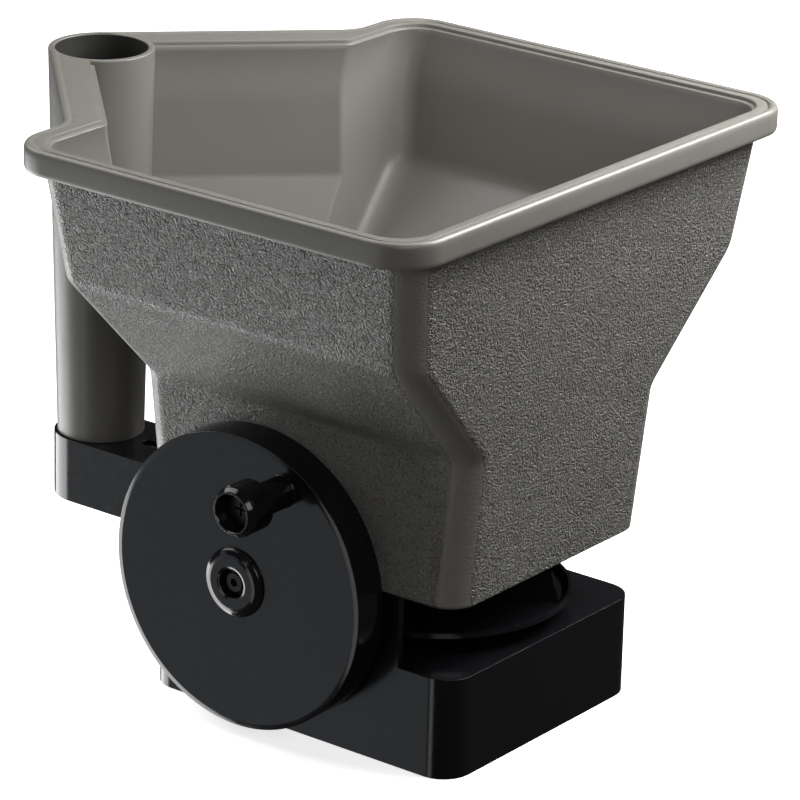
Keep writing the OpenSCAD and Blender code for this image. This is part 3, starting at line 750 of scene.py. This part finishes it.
def build_knob():
    """The hollow knob. Heights run inwards from its open end."""
    length = KNOB_HI.x - KNOB_LO.x
    cup = [(KNOB_BORE_R, KNOB_FLOOR), (6.5, KNOB_FLOOR, 0.4), (KNOB_CUP_R, 0.35, 0.12)]
    lip = [(6.95, 0, 0.12), (7.5, 0, 0.15), (7.65, 0.45, 0.15), (8.75, 1.8, 0.25), (8.95, 2.4, 0.2)]
    grip = [(KNOB_R, 2.8, 0.25), (KNOB_R, length, 0.5), (KNOB_BORE_R, length)]
    return lathe_piece("crank_knob_moulded", fillet_profile(cup + lip + grip),
                       along_x(KNOB_LO.x, KNOB.y, KNOB.z), "knob", WHEEL_BLACK,
                       n=128, closed=True)


wheel = build_wheel()
build_neck()
build_teeth()
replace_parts(wheel, "crank_wheel")
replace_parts(build_knob(), "crank_knob")

# ---------- parts taken from their CAD shape, with moulded edges ----------

refined("base_box", "frame", BASE_BLACK, 0.8, 4)
refined("gear_housing", "frame", BASE_BLACK, 0.6, 3)
refined("base_cover", "frame", BASE_BLACK, 0.3)
refined("spinner_disc", "spinner", WHEEL_BLACK, 0.35)
refined("gate_tab", "gate", BASE_BLACK, 0.4)
refined("flow_gate", "gate", NYLON, 0.25)
refined("agitator", "spinner", NYLON, 0.3)


def node_material(node):
    if node in ("knob_screw", "axle_washer", "axle_screw"):
        return OXIDE
    if node.endswith(("screw", "screws", "nut")):
        return ZINC
    if node in ("crank_axle", "cross_shaft", "spinner_shaft"):
        return STEEL
    if node in ("base_box", "gear_housing", "base_cover", "gate_tab"):
        return BASE_BLACK
    if node in ("crank_wheel", "crank_knob", "spinner_disc"):
        return WHEEL_BLACK
    return GREY if node == "hopper" else NYLON


for node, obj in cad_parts.items():
    obj.data.materials.clear()
    obj.data.materials.append(node_material(node))

# ---------- floor, lights and camera ----------


def make_floor():
    bm = bmesh.new()
    bmesh.ops.create_grid(bm, x_segments=1, y_segments=1, size=6)
    me = bpy.data.meshes.new("floor")
    bm.to_mesh(me)
    bm.free()
    floor = bpy.data.objects.new("floor", me)
    bpy.context.scene.collection.objects.link(floor)
    look = Look("studio_paper", (0.93, 0.93, 0.93), 0.7, specular=0.2)
    look.relief(look.noise(300, 3), 0.02)
    look.shader.inputs["Emission Color"].default_value = (1, 1, 1, 1)
    look.shader.inputs["Emission Strength"].default_value = 0.72
    me.materials.append(look.material)
    floor.visible_diffuse = floor.visible_glossy = floor.visible_shadow = False


LIGHT_CENTRE_Z = 0.11


def softbox(name, turn, rise, distance, size, radiance, colour=(1, 1, 1)):
    """A soft light; turn is its bearing in degrees from -X towards -Y, rise its height above level."""
    t, e = math.radians(turn), math.radians(rise)
    data = bpy.data.lights.new(name, "AREA")
    data.shape = "RECTANGLE"
    data.size, data.size_y = size
    data.energy = radiance * math.pi * size[0] * size[1]
    data.color = colour
    obj = bpy.data.objects.new(name, data)
    bpy.context.scene.collection.objects.link(obj)
    away = Vector((-math.cos(t) * math.cos(e), -math.sin(t) * math.cos(e), math.sin(e)))
    obj.location = Vector((0, 0, LIGHT_CENTRE_Z)) + away * distance
    obj.rotation_euler = away.to_track_quat("Z", "Y").to_euler()


def make_world(strength):
    world = bpy.data.worlds.new("studio")
    world.use_nodes = True
    back = world.node_tree.nodes["Background"]
    back.inputs["Color"].default_value = (1, 1, 1, 1)
    back.inputs["Strength"].default_value = strength
    bpy.context.scene.world = world


def make_camera(azimuth, elevation, roll, distance, target, lens):
    a, e, r = (math.radians(v) for v in (azimuth, elevation, roll))
    back = Vector((math.sin(a) * math.cos(e), -math.cos(a) * math.cos(e), math.sin(e)))
    right = Vector((math.cos(a), math.sin(a), 0))
    up = back.cross(right)
    right, up = right * math.cos(r) + up * math.sin(r), up * math.cos(r) - right * math.sin(r)
    data = bpy.data.cameras.new("camera")
    data.lens, data.sensor_width = lens, 36
    data.clip_start, data.clip_end = 0.05, 30
    camera = bpy.data.objects.new("camera", data)
    bpy.context.scene.collection.objects.link(camera)
    place = Vector(target) + back * distance
    camera.matrix_world = Matrix.Translation(place) @ Matrix((right, up, back)).transposed().to_4x4()
    bpy.context.scene.camera = camera


make_floor()
make_world(0.04)

# name, bearing, rise, distance, size, radiance
softbox("overhead", 150, 72, 1.2, (1.1, 1.0), 2.2)
softbox("front_fill", 50, 25, 1.8, (0.8, 0.8), 3.0)
softbox("left_fill", -44, -12, 1.5, (1.0, 1.5), 0.46, (0.86, 0.92, 1.0))
softbox("left_strip", -10, -8, 1.5, (0.34, 1.5), 1.2)
softbox("left_key", -86, 44, 1.5, (1.3, 1.3), 2.9)
softbox("left_low", -80, -34, 1.2, (1.0, 0.9), 4.7)
softbox("right_key", 128, 48, 0.45, (0.3, 0.3), 12.0)
softbox("rim_key", 166, 38, 1.3, (0.5, 0.4), 12.0)
make_camera(azimuth=-52.78, elevation=20.36, roll=1.5, distance=1.603, target=(0.00112, 0, 0.10936),
            lens=203.265)
bpy.context.scene.view_settings.view_transform = "Standard"
